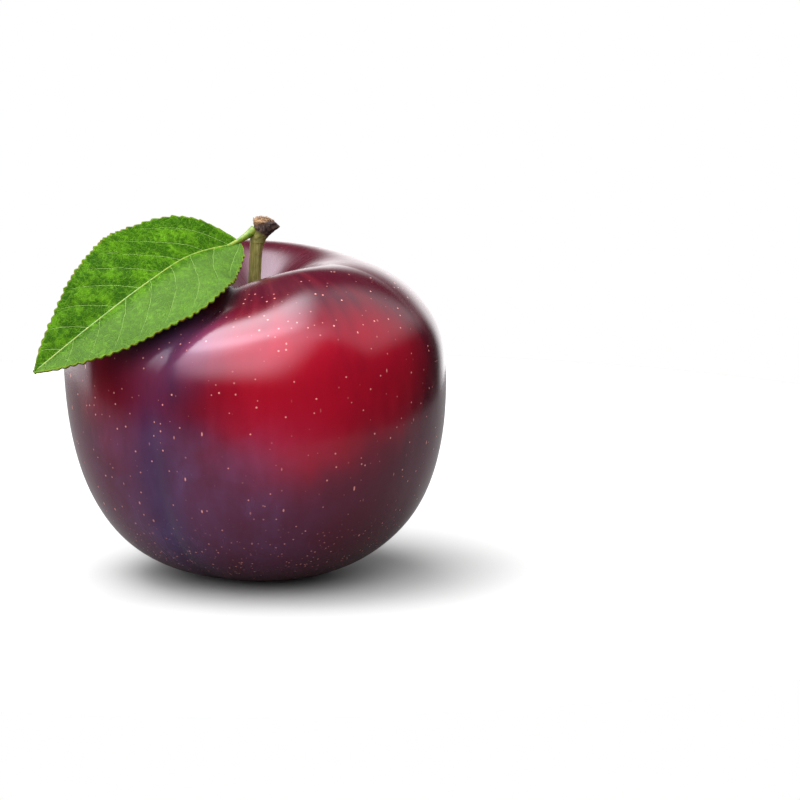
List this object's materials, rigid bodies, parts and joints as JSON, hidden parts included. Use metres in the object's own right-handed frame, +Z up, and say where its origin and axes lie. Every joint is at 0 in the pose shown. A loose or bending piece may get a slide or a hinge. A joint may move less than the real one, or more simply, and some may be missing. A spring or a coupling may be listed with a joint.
{
  "type": "plum",
  "caption": "A ripe dark-red dessert plum with its stalk, a knob of spur wood and a toothed green leaf, standing on the flat spot under the fruit.",
  "frame": {"origin": "centre of the small flat spot that the fruit stands on", "axes": "+Z up through the fruit towards the stalk; +X across the fruit, with the leaf reaching out towards -X; -Y is the side with the suture and the leaf's face"},
  "size_m": [0.0633, 0.0596, 0.0572],
  "materials": {
    "skin": "gloss",
    "stalk": "satin",
    "bark": "matte",
    "leaf": "satin"
  },
  "bodies": {
    "root": {"fruit": "skin", "stalk": "stalk", "spur_wood": "bark", "leaf": "leaf"}
  },
  "joints": []
}
